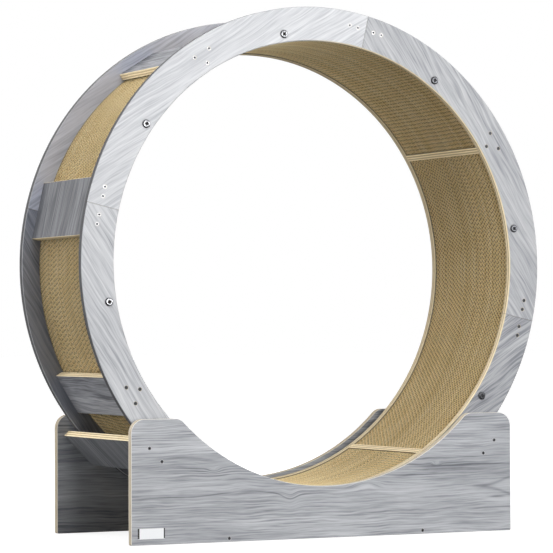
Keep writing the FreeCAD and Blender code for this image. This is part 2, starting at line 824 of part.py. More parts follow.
one_bolt = axle_bolt("axle_bolt")
one_nut = hex_nut("axle_nut")
axle_places, nut_places, foot_places = [], [], []
roller_x = size("roller_x").number
cheek_out = size("cheek_half").number + size("cheek_thick").number
board_top = size("floor_board_thick").number
for corner, sx, sy in (("front_left", -1, -1), ("front_right", 1, -1),
                       ("back_left", -1, 1), ("back_right", 1, 1)):
    x, y = sx * roller_x, sy * ring_mid
    wheel_place = Placement(Vector(x, y, roller_z.number), Rotation())
    item = roller("roller_%s" % corner)
    item.Placement = wheel_place
    keep(item)
    item = bearing("roller_bearing_%s" % corner)
    item.Placement = wheel_place
    keep(item)
    item = bracket("roller_bracket_%s" % corner)
    item.Placement = Placement(Vector(x, y, board_top), Rotation())
    keep(item)
    # the bolt's head is on the outer side, next to the panel
    spin = Rotation() if sy < 0 else Rotation(AXIS_Z, 180)
    axle_places.append(Placement(Vector(x, y + sy * cheek_out, roller_z.number), spin))
    nut_places.append(Placement(
        Vector(x, y - sy * (cheek_out + size("nut_high").number / 2), roller_z.number),
        Rotation(AXIS_Y, 17.0 * sx)))
    for shift in (1, -1):
        foot_places.append(Placement(
            Vector(x + shift * size("bracket_screw").number, y,
                   board_top + size("cheek_thick").number),
            Rotation(AXIS_X, -90).multiply(Rotation(AXIS_Y, 25.0 + 30 * shift * sx))))
group("roller_axles", one_bolt, axle_places)
group("axle_nuts", one_nut, nut_places)
group("bracket_screws", small_screw, foot_places)

# ------------------------------------------------------------------ check, write
doc.recompute()
faults = []
for item in doc.Objects:
    if any(word in ("Invalid", "Error") for word in item.State):
        faults.append("%s: %s" % (item.Name, item.State))
names = [name for name, item in parts]
if len(set(names)) != len(names) or len(names) > 60:
    faults.append("node names")
for name, item in parts:
    shape = item.Shape
    if shape.isNull() or not shape.isValid() or not shape.Solids or shape.Volume <= 0:
        faults.append("%s: shape" % name)
if faults:
    raise ValueError("; ".join(faults))

os.makedirs("parts", exist_ok=True)
whole = FreeCAD.BoundBox()
for name, item in parts:
    item.Shape.exportStep(os.path.join("parts", name + ".step"))
    whole.add(item.Shape.BoundBox)
    print("%-28s %2d solids %10.1f cm3" % (name, len(item.Shape.Solids), item.Shape.Volume / 1000))
print("nodes", len(parts))
print("box %.2f %.2f %.2f to %.2f %.2f %.2f" % (
    whole.XMin, whole.YMin, whole.ZMin, whole.XMax, whole.YMax, whole.ZMax))
print("roller axle at z %.3f" % roller_z.number)
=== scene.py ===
import math
import random

import bpy
import numpy as np
from mathutils import Matrix, Vector


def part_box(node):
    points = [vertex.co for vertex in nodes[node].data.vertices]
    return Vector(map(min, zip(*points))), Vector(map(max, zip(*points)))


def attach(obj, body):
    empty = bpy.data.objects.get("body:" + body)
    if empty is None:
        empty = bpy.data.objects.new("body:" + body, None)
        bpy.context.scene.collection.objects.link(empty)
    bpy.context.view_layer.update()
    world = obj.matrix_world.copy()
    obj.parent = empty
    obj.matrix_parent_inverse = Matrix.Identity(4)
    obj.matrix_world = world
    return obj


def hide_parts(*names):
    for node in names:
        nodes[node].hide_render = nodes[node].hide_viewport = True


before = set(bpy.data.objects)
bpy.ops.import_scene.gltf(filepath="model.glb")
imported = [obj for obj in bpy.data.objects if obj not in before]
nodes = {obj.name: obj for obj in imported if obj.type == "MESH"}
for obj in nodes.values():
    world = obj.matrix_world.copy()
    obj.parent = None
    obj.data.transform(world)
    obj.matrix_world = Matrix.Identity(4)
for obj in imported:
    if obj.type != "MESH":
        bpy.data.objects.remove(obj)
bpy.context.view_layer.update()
scene = bpy.context.scene

FILL = 0.03              # the studio's own light on matt surfaces

MM = 0.001
AXIS_Z = 0.582
HUB = Vector((0.0, 0.0, AXIS_Z))
SEAM = 77.05             # degrees, the first ring seam; the others are 90 degrees on


def direction(degrees):
    a = math.radians(degrees)
    return Vector((math.cos(a), 0.0, math.sin(a)))


# ------------------------------------------------------------------ node graphs

class Graph:
    """Short hand for one material's node tree. A value is a number, a tuple or another node's output."""

    def __init__(self, name):
        self.material = bpy.data.materials.new(name)
        self.material.use_nodes = True
        self.tree = self.material.node_tree
        self.tree.nodes.clear()
        self.output = self.tree.nodes.new("ShaderNodeOutputMaterial")

    def node(self, kind, **settings):
        n = self.tree.nodes.new(kind)
        for key, value in settings.items():
            setattr(n, key, value)
        return n

    def feed(self, socket, value):
        if isinstance(value, bpy.types.NodeSocket):
            self.tree.links.new(value, socket)
        elif value is not None:
            if isinstance(value, (tuple, list, Vector)) and socket.type == "RGBA" and len(value) == 3:
                value = (*value, 1.0)
            socket.default_value = value

    def math(self, operation, a, b=None, c=None, clamp=False):
        n = self.node("ShaderNodeMath", operation=operation, use_clamp=clamp)
        self.feed(n.inputs[0], a)
        self.feed(n.inputs[1], b)
        self.feed(n.inputs[2], c)
        return n.outputs[0]

    def add(self, a, b):
        return self.math("ADD", a, b)

    def sub(self, a, b):
        return self.math("SUBTRACT", a, b)

    def mul(self, a, b):
        return self.math("MULTIPLY", a, b)

    def vector(self, operation, a, b=None):
        n = self.node("ShaderNodeVectorMath", operation=operation)
        self.feed(n.inputs[0], a)
        self.feed(n.inputs[1], b)
        return n.outputs["Value"] if operation in ("DOT_PRODUCT", "LENGTH", "DISTANCE") else n.outputs["Vector"]

    def xyz(self, x, y, z):
        n = self.node("ShaderNodeCombineXYZ")
        for socket, value in zip(n.inputs, (x, y, z)):
            self.feed(socket, value)
        return n.outputs[0]

    def split(self, value):
        n = self.node("ShaderNodeSeparateXYZ")
        self.feed(n.inputs[0], value)
        return n.outputs

    def noise(self, at, scale=1.0, detail=2.0, rough=0.5, distortion=0.0):
        n = self.node("ShaderNodeTexNoise", noise_dimensions="3D")
        self.feed(n.inputs["Vector"], at)
        n.inputs["Scale"].default_value = scale
        n.inputs["Detail"].default_value = detail
        n.inputs["Roughness"].default_value = rough
        n.inputs["Distortion"].default_value = distortion
        return n.outputs[0]

    def cells(self, at):
        n = self.node("ShaderNodeTexWhiteNoise", noise_dimensions="3D")
        self.feed(n.inputs["Vector"], at)
        return n.outputs["Value"]

    def span(self, value, low, high, to_low=0.0, to_high=1.0, smooth=False):
        n = self.node("ShaderNodeMapRange", clamp=True,
                      interpolation_type="SMOOTHSTEP" if smooth else "LINEAR")
        for socket, v in zip(n.inputs, (value, low, high, to_low, to_high)):
            self.feed(socket, v)
        return n.outputs[0]

    def mix(self, factor, a, b, blend="MIX"):
        n = self.node("ShaderNodeMix", data_type="RGBA", blend_type=blend)
        self.feed(n.inputs[0], factor)
        self.feed(n.inputs[6], a)
        self.feed(n.inputs[7], b)
        return n.outputs[2]

    def mixf(self, factor, a, b):
        n = self.node("ShaderNodeMix", data_type="FLOAT")
        self.feed(n.inputs[0], factor)
        self.feed(n.inputs[2], a)
        self.feed(n.inputs[3], b)
        return n.outputs[0]

    def ramp(self, value, *stops):
        n = self.node("ShaderNodeValToRGB")
        self.feed(n.inputs[0], value)
        elements = n.color_ramp.elements
        while len(elements) < len(stops):
            elements.new(0.5)
        for element, (position, colour) in zip(elements, stops):
            element.position = position
            element.color = (*colour, 1.0)
        return n.outputs[0]

    def bell(self, value, centre, width):
        """1 at the centre, falling off smoothly within about the width."""
        d = self.math("DIVIDE", self.sub(value, centre), width)
        return self.math("EXPONENT", self.mul(self.mul(d, d), -1.0))

    def spoke(self, x, z, first, step):
        """Coordinates (out, along) in the frame of the nearest spoke of the wheel; spokes at first, first + step..."""
        turn, half = math.radians(step), math.radians(step / 2)
        angle = self.math("ARCTAN2", z, x)
        angle = self.sub(self.math("FLOORED_MODULO", self.add(angle, half - math.radians(first)), turn), half)
        radius = self.math("SQRT", self.add(self.mul(x, x), self.mul(z, z)))
        return self.mul(radius, self.math("COSINE", angle)), self.mul(radius, self.math("SINE", angle))

    def reach(self, a, b):
        return self.math("SQRT", self.add(self.mul(a, a), self.mul(b, b)))

    def bump(self, height, distance, strength=1.0):
        n = self.node("ShaderNodeBump")
        n.inputs["Strength"].default_value = strength
        n.inputs["Distance"].default_value = distance
        self.feed(n.inputs["Height"], height)
        return n.outputs[0]

    def finish(self, colour, roughness, bump=None, metallic=0.0, specular=0.5, coat=0.0, coat_roughness=0.1):
        n = self.node("ShaderNodeBsdfPrincipled")
        self.feed(n.inputs["Base Color"], colour)
        self.feed(n.inputs["Roughness"], roughness)
        self.feed(n.inputs["Metallic"], metallic)
        n.inputs["Specular IOR Level"].default_value = specular
        n.inputs["Coat Weight"].default_value = coat
        n.inputs["Coat Roughness"].default_value = coat_roughness
        if bump is not None:
            self.feed(n.inputs["Normal"], bump)
        self.feed(self.output.inputs["Surface"], n.outputs[0])
        return self.material


def linear(r, g, b):
    """8-bit display colour to linear."""
    return tuple(c / 12.92 if c <= 0.04045 else ((c + 0.055) / 1.055) ** 2.4 for c in (r / 255, g / 255, b / 255))


def put(node_name, material):
    slots = nodes[node_name].material_slots
    for i in range(len(slots)):
        slots[i].material = material


# ------------------------------------------------------------------ materials

PLY_LIGHT = linear(250, 238, 206)
PLY_MID = linear(238, 218, 176)
PLY_DARK = linear(152, 122, 74)


def ply_edge(g, across, along, seed, layers, pale, tone=1.0):
    """Edge of a glued board, pale and brown plies in turn. across: 0 to 1 through the thickness. along: metres."""
    wavy = g.noise(g.xyz(g.mul(along, 18.0), 0.0, seed + 11.0), 1.0, 2.0, 0.5)
    place = g.add(g.mul(across, float(layers)), g.mul(g.sub(wavy, 0.5), 0.5))
    index = g.math("FLOOR", place)
    inside = g.math("FRACT", place)
    glue = g.math("MAXIMUM", g.span(inside, 0.0, 0.12, 1.0, 0.0, smooth=True),
                  g.span(inside, 0.88, 1.0, 0.0, 1.0, smooth=True))
    odd = g.math("GREATER_THAN", g.math("FLOORED_MODULO", index, 2.0), 0.5)
    fibre = g.noise(g.xyz(g.mul(along, 60.0), g.mul(across, layers * 3.0), seed), 1.0, 4.0, 0.6)
    pores = g.noise(g.xyz(g.mul(along, 420.0), g.mul(across, layers * 5.0), seed + 7.0), 1.0, 2.0, 0.6)
    layer_tone = g.cells(g.xyz(index, seed, 3.0))
    bright, middle, brown = [tuple((c * (1 - pale) + p * pale) * tone for c, p in zip(colour, linear(*grey)))
                             for colour, grey in ((PLY_LIGHT, (240, 234, 224)), (PLY_MID, (222, 212, 198)), (PLY_DARK, (158, 146, 130)))]
    light = g.mix(g.span(fibre, 0.3, 0.7), bright, middle)
    dark = g.mix(g.span(pores, 0.35, 0.65), tuple(c * 0.70 for c in middle), brown)
    body = g.mix(g.mul(odd, g.span(layer_tone, 0.0, 1.0, 0.70, 1.0)), light, dark)
    return g.mix(g.mul(glue, 0.40), body, brown)


def laminate(name, seed, origin, along, across, through, thickness, tone, *,
             light=(231, 233, 238), dark=(150, 153, 160), contrast=1.0, lines=150.0, swirl=1.0, fine=1.0,
             marks=(), stripes=(), layers=6, pale=0.25, ply_tone_and_shade=1.0, arris_highlight=0.0, gloss=0.0, ring=None, inner_face_shade=(255, 255, 255), printed=9.0,
             weights=(0.40, 0.30, 0.22, 0.40, 0.22)):
    """Printed grey wood decor on both faces of a board, its glued layers on the edges.

    origin, along, across, through: the board's own frame at rest; through is the face normal.
    marks: (u, v, half length, half width, lift) knots or tapering figures.
    stripes: (v, width, u0, u1, depth, wave, then any number of (u, half width, rise)).
    weights: broad bands, smoky streaks, year rings, fine dark streaks, hair lines.
    worn: painted highlight, how pale the arrises are. gloss: added to the roughness of the faces. ring: for a quarter
    of a ring, the sign of its inner face along through, else None; hidden: painted shade, a tint of that face;
    printed: beyond this u the decor runs over the inner arris.
    """
    g = Graph(name)
    tc = g.node("ShaderNodeTexCoord")
    at = g.vector("SUBTRACT", tc.outputs["Object"], tuple(origin))
    u = g.vector("DOT_PRODUCT", at, tuple(along))
    v = g.vector("DOT_PRODUCT", at, tuple(across))
    w = g.vector("DOT_PRODUCT", at, tuple(through))
    facing = g.vector("DOT_PRODUCT", tc.outputs["Normal"], tuple(through))
    back = g.math("LESS_THAN", facing, 0.0)
    side = g.add(g.mul(back, 31.7), seed)                  # each face has its own sheet of decor
    # slow wander of the grain, then a finer one
    wander = g.noise(g.xyz(g.mul(u, 2.3), g.mul(v, 7.5), side), 1.0, 3.0, 0.52)
    ripple = g.noise(g.xyz(g.mul(u, 11.0), g.mul(v, 34.0), g.add(side, 4.0)), 1.0, 2.0, 0.5)
    bent = g.add(v, g.add(g.mul(g.sub(wander, 0.5), 0.060 * swirl), g.mul(g.sub(ripple, 0.5), 0.0085 * swirl)))
    lift = None
    for mu, mv, half_u, half_v, high in marks:
        spot = g.mul(g.bell(u, mu, half_u), g.bell(v, mv, half_v))
        piece = g.mul(spot, high)
        lift = piece if lift is None else g.add(lift, piece)
    if lift is not None:
        bent = g.add(bent, lift)
    # year rings: a thin dark line on one side of each, fading away here and there
    rings = g.math("FRACT", g.mul(bent, lines))
    ring_line = g.mul(g.span(rings, 0.0, 0.75, 0.0, 1.0, smooth=True), g.span(rings, 0.86, 1.0, 1.0, 0.0, smooth=True))
    patchy = g.noise(g.xyz(g.mul(u, 3.6), g.mul(bent, 16.0), g.add(side, 9.0)), 1.0, 2.0, 0.5)
    ring_line = g.mul(ring_line, g.span(patchy, 0.34, 0.66, 0.15, 1.0))
    # broad soft bands, smoky streaks, fine dark streaks, hair lines, pores
    bands = g.noise(g.xyz(g.mul(u, 1.3), g.mul(bent, 24.0), g.add(side, 13.0)), 1.0, 3.0, 0.55)
    smoke = g.noise(g.xyz(g.mul(u, 4.6), g.mul(bent, 70.0), g.add(side, 17.0)), 1.0, 4.0, 0.62)
    streak = g.noise(g.xyz(g.mul(u, 7.5), g.mul(bent, 200.0), g.add(side, 19.0)), 1.0, 3.0, 0.58)
    hair = g.noise(g.xyz(g.mul(u, 13.0), g.mul(bent, 400.0), g.add(side, 21.0)), 1.0, 2.0, 0.6)
    pores = g.noise(g.xyz(g.mul(u, 40.0), g.mul(bent, 1300.0), g.add(side, 23.0)), 1.0, 2.0, 0.6)
    where = g.span(patchy, 0.30, 0.62, 0.45, 1.0)
    shade = g.add(g.mul(g.span(bands, 0.30, 0.70), weights[0]), g.mul(g.span(smoke, 0.30, 0.74), weights[1]))
    shade = g.add(shade, g.mul(ring_line, weights[2]))
    shade = g.add(shade, g.mul(g.mul(g.span(streak, 0.44, 0.70), where), weights[3] * fine))
    shade = g.add(shade, g.mul(g.span(hair, 0.46, 0.72), weights[4] * fine))
    shade = g.add(shade, g.mul(g.span(pores, 0.55, 0.80), 0.10 * fine))
    if lift is not None:
        shade = g.add(shade, g.mul(g.math("ABSOLUTE", lift), 3.2))
    for sv, wide, u0, u1, deep, wave, *humps in stripes:
        drift = g.noise(g.xyz(g.mul(u, 6.0), sv * 40.0, seed + 2.0), 1.0, 3.0, 0.5)
        height = g.add(v, g.mul(g.sub(drift, 0.5), wave))
        for hu, half_u, rise in humps:
            height = g.sub(height, g.mul(g.bell(u, hu, half_u), rise))
        line = g.bell(height, sv, wide)
        line = g.mul(line, g.mul(g.span(u, u0, u0 + 0.05, 0.0, 1.0, smooth=True), g.span(u, u1 - 0.05, u1, 1.0, 0.0, smooth=True)))
        shade = g.add(shade, g.mul(line, deep))
    shade = g.math("MULTIPLY", shade, contrast, clamp=True)
    decor = g.ramp(shade,
                   (0.0, tuple(c * tone for c in linear(*light))),
                   (0.42, tuple(c * tone for c in linear(*[l * 0.62 + d * 0.38 for l, d in zip(light, dark)]))),
                   (1.0, tuple(c * tone for c in linear(*dark))))
    # edges
    level = g.math("ADD", g.math("DIVIDE", w, thickness), 0.5, clamp=True)
    flat = g.span(g.math("ABSOLUTE", facing), 0.78, 0.90)
    if ring:
        x, _, z = g.split(tc.outputs["Object"])
        zz = g.sub(z, AXIS_Z)
        radius = g.math("SQRT", g.add(g.mul(x, x), g.mul(zz, zz)))
        turn = g.mul(g.math("ARCTAN2", zz, x), 0.5)
        edge = ply_edge(g, level, turn, seed + 40.0, layers, pale, ply_tone_and_shade)
        # the outer rim is painted: grey, a little uneven, paler on its bevels
        patch = g.noise(g.xyz(g.mul(turn, 30.0), g.mul(level, 9.0), seed), 1.0, 3.0, 0.6)
        band = g.mix(g.span(patch, 0.3, 0.7), linear(66, 66, 68), linear(86, 86, 89))
        bevel = g.span(g.math("ABSOLUTE", facing), 0.30, 0.60)
        band = g.mix(bevel, band, g.mix(g.span(patch, 0.3, 0.7), linear(150, 152, 156), linear(196, 197, 201)))
        edge = g.mix(g.span(radius, 0.5485, 0.5487), edge, band)
        # a dark line where two quarters butt, painted shade in a ring round each large bolt, and a painted shadow line
        # on the ledge where a pad meets the ring
        butt = g.math("DIVIDE", g.sub(g.add(v, 0.5), g.math("ABSOLUTE", u)), math.sqrt(2.0))
        butt = g.span(butt, 0.0004, 0.0015, 0.34, 0.0, smooth=True)
        # painted shade round each large bolt's head
        bolt_shadow = g.xyz(g.sub(g.math("ABSOLUTE", u), 0.495 * math.sin(math.radians(22.5))),
                     g.sub(v, 0.495 * math.cos(math.radians(22.5)) - 0.5), 0.0)
        bolt_shadow = g.vector("LENGTH", bolt_shadow)
        bolt_shadow = g.mul(g.span(bolt_shadow, 0.0086, 0.0106, 0.40, 0.0, smooth=True), g.span(radius, 0.40, 0.41))
        joint_and_bolt_shadow = g.math("MAXIMUM", butt, bolt_shadow)
        decor = g.mix(joint_and_bolt_shadow, decor, linear(66, 68, 74))
        inward = g.math("GREATER_THAN", g.mul(facing, ring), 0.5)
        # painted shade: each quarter's inner face tinted darker or paler by the light it gets at rest
        decor = g.mix(inward, decor, linear(*inner_face_shade), "MULTIPLY")
        # painted shadow on the narrow ledge of the inner face beside the pad
        inner = g.mul(inward, g.span(radius, 0.4799, 0.4803, 1.0, 0.0))
        decor = g.mix(g.mul(inner, 0.9), decor, linear(84, 72, 50))
        edge = g.mix(butt, edge, linear(84, 76, 66))
        arris = g.mul(g.math("LESS_THAN", radius, 0.4794), g.math("LESS_THAN", g.mul(facing, ring), -0.35))
        flat = g.math("MAXIMUM", flat, g.mul(arris, g.span(u, printed, printed + 0.10)))
    else:
        run = g.add(u, g.mul(v, 1.0))
        edge = ply_edge(g, level, run, seed + 40.0, layers, pale, ply_tone_and_shade)
        # the arrises painted pale: a painted highlight along the board's edges
        arris = g.mul(g.span(g.math("ABSOLUTE", facing), 0.40, 0.60), arris_highlight)
        edge = g.mix(arris, edge, linear(240, 239, 238))
    colour = g.mix(flat, edge, decor)
    fine_height = g.add(g.mul(pores, 0.3), g.add(g.mul(streak, 0.3), g.mul(smoke, 0.4)))
    edge_height = g.noise(g.xyz(g.mul(u, 700.0), g.mul(v, 700.0), g.mul(w, 2500.0)), 1.0, 2.0, 0.6)
    height = g.mixf(flat, edge_height, fine_height)
    roughness = g.mixf(flat, 0.78, g.span(streak, 0.3, 0.8, 0.44 + gloss, 0.60 + gloss))
    return g.finish(colour, roughness, g.bump(height, 0.00012, 0.55), specular=0.38)


def fastener(name, base, rough_low, rough_high, head_y, kind, bore=(0.0011, 0.0021), rim=None, shade_zone=None):
    """Plated steel. The driver's recess is dark with painted shade: below |y| = head_y, and within bore of the screw's
    own axis.

    kind: how the screws are laid out. rim: radius where the painted shade on the head's outer edge starts.
    shy: (x, z, factor) painted shade: heads beyond x or below z are darker, where less light falls at rest.
    """
    g = Graph(name)
    tc = g.node("ShaderNodeTexCoord")
    at = tc.outputs["Object"]
    x, y, z = g.split(at)
    coarse = g.noise(at, 160.0, 3.0, 0.55)
    fine = g.noise(at, 1100.0, 3.0, 0.6)
    plated = g.mix(g.span(coarse, 0.3, 0.7), tuple(c * 0.88 for c in base), tuple(min(1.0, c * 1.08) for c in base))
    zz = g.sub(z, AXIS_Z)
    if kind == "ring":
        out, along = g.spoke(x, zz, SEAM, 90.0)
        seam = g.reach(g.sub(out, 0.5185), g.sub(g.math("ABSOLUTE", g.sub(g.math("ABSOLUTE", along), 0.0295)), 0.010))
        out, along = g.spoke(x, zz, SEAM + 45.0, 90.0)
        tee = g.reach(g.sub(out, 0.5185), g.sub(g.math("ABSOLUTE", along), 0.0195))
        bar = g.reach(g.sub(out, 0.4945), along)
        off = g.math("MINIMUM", seam, g.math("MINIMUM", tee, bar))
    elif kind == "pad":
        out, along = g.spoke(x, zz, SEAM + 22.5, 45.0)
        off = g.reach(g.sub(out, 0.495), along)
    else:
        ax = g.math("ABSOLUTE", x)
        spots = [(math.sqrt(0.5) * (0.565 - way), 0.582 - math.sqrt(0.5) * (0.562 + way)) for way in (0.0197, -0.0197)]
        off = None
        for px, pz in spots + [(0.232, 0.0075)]:
            one = g.reach(g.sub(ax, px), g.sub(z, pz))
            off = one if off is None else g.math("MINIMUM", off, one)
    # painted shade in the driver's recess, with less metal and more roughness there
    deep = g.math("MAXIMUM", g.span(g.math("ABSOLUTE", y), head_y - 0.0002, head_y + 0.00005, 1.0, 0.0),
                  g.span(off, bore[0], bore[1], 1.0, 0.0, smooth=True))
    colour = g.mix(deep, plated, linear(30, 27, 25))
    # painted shade on the outer edge of the head
    if rim:
        edge = g.span(off, rim, rim + 0.0006)
        colour = g.mix(edge, colour, linear(62, 63, 66))
    # painted shade on the heads that sit to the right or low down at rest
    if shade_zone:
        shaded_head = g.math("MAXIMUM", g.span(x, shade_zone[0] - 0.04, shade_zone[0] + 0.04), g.span(z, shade_zone[1] - 0.04, shade_zone[1] + 0.04, 1.0, 0.0))
        colour = g.mix(g.mul(shaded_head, shade_zone[2]), colour, linear(62, 63, 66))
    metallic = g.span(deep, 0.0, 1.0, 1.0, 0.35)
    roughness = g.mixf(deep, g.span(fine, 0.25, 0.75, rough_low, rough_high), 0.75)
    return g.finish(colour, roughness, g.bump(fine, 0.00004, 0.4), metallic=metallic)


def metal(name, base, rough_low, rough_high, scale, *, brushed=(1.0, 1.0, 1.0), dent=0.00004, spread=0.10):
    g = Graph(name)
    tc = g.node("ShaderNodeTexCoord")
    at = g.vector("MULTIPLY", tc.outputs["Object"], tuple(scale * b for b in brushed))
    coarse = g.noise(at, 0.12, 3.0, 0.55)
    fine = g.noise(at, 1.0, 3.0, 0.6)
    low = tuple(c * (1.0 - spread) for c in base)
    high = tuple(min(1.0, c * (1.0 + spread)) for c in base)
    colour = g.mix(g.span(coarse, 0.3, 0.7), low, high)
    roughness = g.span(fine, 0.25, 0.75, rough_low, rough_high)
    return g.finish(colour, roughness, g.bump(fine, dent, 0.4), metallic=1.0)


def nylon(name):
    g = Graph(name)
    tc = g.node("ShaderNodeTexCoord")
    speck = g.noise(tc.outputs["Object"], 900.0, 3.0, 0.6)
    slow = g.noise(tc.outputs["Object"], 60.0, 2.0, 0.5)
    colour = g.mix(g.span(slow, 0.3, 0.7), linear(46, 47, 50), linear(60, 61, 64))
    return g.finish(colour, g.span(speck, 0.3, 0.7, 0.42, 0.58), g.bump(speck, 0.00005, 0.5), specular=0.5)


def cardboard(name):
    """Brown paper seen on edge: pale where it is cut, darker down in the flutes, partly the paper's own brown and
    partly painted shade. Each strip has its own tone.
    """
    g = Graph(name)
    tc = g.node("ShaderNodeTexCoord")
    x, y, z = g.split(tc.outputs["Object"])
    zz = g.sub(z, AXIS_Z)
    radius = g.math("SQRT", g.add(g.mul(x, x), g.mul(zz, zz)))
    strip = g.node("ShaderNodeAttribute", attribute_type="GEOMETRY", attribute_name="strip")
    fibre = g.noise(tc.outputs["Object"], 1500.0, 3.0, 0.62)
    cloud = g.noise(tc.outputs["Object"], 22.0, 3.0, 0.55)
    waved = g.node("ShaderNodeAttribute", attribute_type="GEOMETRY", attribute_name="waved")
    value = g.add(g.mul(strip.outputs["Fac"], 0.22), g.add(g.mul(fibre, 0.36), g.mul(cloud, 0.42)))
    cut = g.ramp(value, (0.2, linear(240, 215, 160)), (0.5, linear(251, 231, 182)), (0.8, linear(255, 245, 210)))
    # down in the flutes: painted shade over the paper's own brown, the flat papers' walls dark and the waved paper
    # lighter
    flat_side_kraft_and_shade = g.ramp(value, (0.2, linear(92, 68, 30)), (0.5, linear(112, 85, 42)), (0.8, linear(128, 99, 54)))
    wave_side = g.ramp(value, (0.2, linear(204, 172, 108)), (0.5, linear(220, 189, 125)), (0.8, linear(234, 205, 143)))
    wave_deep_shade = g.mix(1.0, wave_side, linear(168, 150, 112), "MULTIPLY")
    depth = g.math("MINIMUM", g.sub(radius, 0.4801), g.sub(0.5099, radius))
    flat_paper = g.mix(g.span(depth, 0.0003, 0.0011), cut, flat_side_kraft_and_shade)
    wave_paper = g.mix(g.span(depth, 0.0003, 0.0009), cut, g.mix(g.span(depth, 0.0015, 0.0050), wave_side, wave_deep_shade))
    colour = g.mix(waved.outputs["Fac"], flat_paper, wave_paper)
    # painted shade over the pad's outer face
    outer_face_shade = g.mul(g.math("GREATER_THAN", radius, 0.495), g.span(depth, 0.0003, 0.0012))
    colour = g.mix(g.mul(outer_face_shade, 0.10), colour, linear(110, 80, 40))
    # painted shadow along both ends of the pad, beside the rings
    border_shade = g.span(g.math("ABSOLUTE", y), 0.1526, 0.1548)
    colour = g.mix(g.mul(border_shade, 0.55), colour, linear(84, 66, 38))
    return g.finish(colour, g.span(fibre, 0.2, 0.8, 0.82, 0.95), g.bump(fibre, 0.00015, 0.6), specular=0.2)


def plate(name, low, high):
    """White lacquered plate, dark at each end and darker along its top."""
    g = Graph(name)
    tc = g.node("ShaderNodeTexCoord")
    x, y, z = g.split(tc.outputs["Object"])
    u = g.math("DIVIDE", g.sub(x, (low.x + high.x) / 2), (high.x - low.x) / 2)
    v = g.math("DIVIDE", g.sub(z, (low.z + high.z) / 2), (high.z - low.z) / 2)
    bar = g.math("MAXIMUM", g.span(u, -0.885, -0.875, 1.0, 0.0), g.span(u, 0.905, 0.915))
    bar = g.mul(bar, g.span(g.math("ABSOLUTE", v), 0.90, 0.96, 1.0, 0.0))
    bar = g.math("MAXIMUM", bar, g.mul(g.span(v, 0.88, 0.93), 0.6))
    brushed = g.noise(g.xyz(g.mul(x, 120.0), 0.0, g.mul(z, 5200.0)), 1.0, 3.0, 0.6)
    face = g.mix(g.span(brushed, 0.25, 0.75), linear(236, 238, 241), linear(250, 250, 251))
    colour = g.mix(bar, face, linear(18, 18, 20))
    return g.finish(colour, g.span(brushed, 0.2, 0.8, 0.28, 0.42), g.bump(brushed, 0.00003, 0.4), specular=0.6, coat=0.3, coat_roughness=0.2)


# ------------------------------------------------------------------ boards

Y = Vector((0.0, 1.0, 0.0))
X = Vector((1.0, 0.0, 0.0))
Z = Vector((0.0, 0.0, 1.0))

for k in range(1, 5):
    middle = SEAM + 45.0 + 90.0 * (k - 1)
    radial, chord = direction(middle), direction(middle + 90.0)
    for end, y, seed, inward in (("front", -0.1635, 3.0, -1.0), ("back", 0.1635, 61.0, 1.0)):
        # each quarter is cut from another sheet: 1 and 2 pale and calm, 3 darker and streaky; the darker tones of 3
        # and 4 also hold painted shade, the ring darker to the right and low down
        shade, strength = ((0.80, 0.66), (0.76, 0.84), (0.62, 1.25), (0.62, 0.95))[k - 1]
        put(f"ring_{end}_segment_{k}",
            laminate(f"ring_laminate_{end}_{k}", seed + 5.3 * k, HUB + radial * 0.5 + Y * y, chord, radial, -Y, 0.015, shade,
                     # ply_tone_and_shade: the back ring's plies darker, painted shade on its shadowed side
                     light=(246, 247, 249), dark=(150, 153, 161), contrast=strength, lines=95.0, swirl=0.8, layers=5, pale=0.10, ply_tone_and_shade=1.0 if end == "front" else 0.78,
                     # hidden: painted shade, each quarter's inner face tinted by the light it gets at rest
                     ring=inward, inner_face_shade=((242, 244, 255), (184, 187, 196), (204, 206, 212), (222, 228, 240))[k - 1],
                     printed=(-0.32, -9.0, 9.0, 9.0)[k - 1], weights=(0.26, 0.24, 0.22, 0.52, 0.34)))

for k in range(1, 5):
    for kind, angle, seed in (("seam", SEAM + 90.0 * (k - 1), 101.0), ("tee", SEAM + 45.0 + 90.0 * (k - 1), 131.0)):
        out, tangent = direction(angle), direction(angle + 90.0)
        along, across = (tangent, Y) if kind == "seam" else (Y, tangent)
        put(f"{kind}_plank_{k}",
            laminate(f"plank_laminate_{kind}_{k}", seed + 3.1 * k, HUB + out * 0.5185, along, across, out, 0.015,
                     0.34 if kind == "seam" else (0.50, 0.56, 0.42, 0.42)[k - 1],
                     light=(226, 228, 234), dark=(112, 114, 122), contrast=1.1, lines=120.0, layers=5, pale=0.05, ply_tone_and_shade=1.04,
                     gloss=0.18 if (kind, k) == ("tee", 1) else 0.04,
                     weights=(0.40, 0.34, 0.24, 0.56, 0.34)))
    out, tangent = direction(SEAM + 45.0 + 90.0 * (k - 1)), direction(SEAM + 135.0 + 90.0 * (k - 1))
    # inner bars: plain brown ply faces, their dark tone partly painted shade for the shadow line beside each bar
    put(f"inner_bar_{k}",
        laminate(f"bar_ply_{k}", 171.0 + 2.7 * k, HUB + out * 0.4945, Y, out, tangent, 0.015, 0.45,
                 light=(196, 166, 116), dark=(138, 108, 64), layers=5, pale=0.0, ply_tone_and_shade=1.12))

